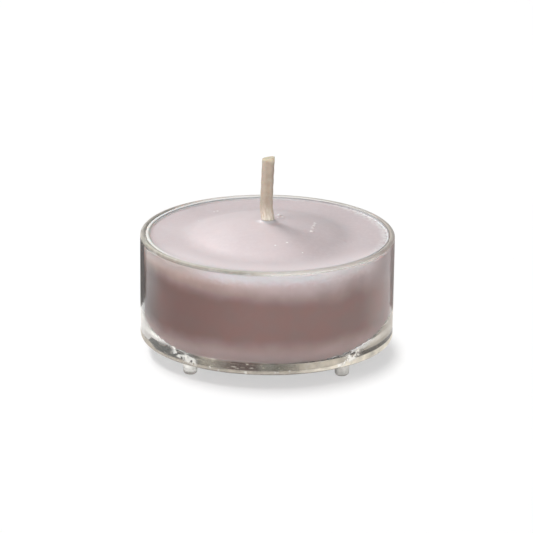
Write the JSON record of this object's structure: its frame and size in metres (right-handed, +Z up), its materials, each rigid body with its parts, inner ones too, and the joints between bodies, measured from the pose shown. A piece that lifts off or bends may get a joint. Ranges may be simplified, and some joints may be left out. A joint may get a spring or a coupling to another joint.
{
  "type": "tea light candle",
  "caption": "Round tea light: domed wax with a braided wick in a clear moulded cup on small feet, which stands on a flat surface or drops in a holder.",
  "frame": {"origin": "centre of the circle that the feet stand on, on the surface they rest on", "axes": "+Z up along the axis of the cup, +X to the side that the wick leans to"},
  "size_m": [0.038, 0.038, 0.0303],
  "materials": {
    "clear_plastic": "clear, polished",
    "wax": "satin mauve wax",
    "cotton": "waxed braid",
    "tinplate": "rolled, satin"
  },
  "bodies": {
    "root": {"cup": "clear_plastic", "wax": "wax", "wick": "cotton", "wick_tab": "tinplate"}
  },
  "joints": []
}
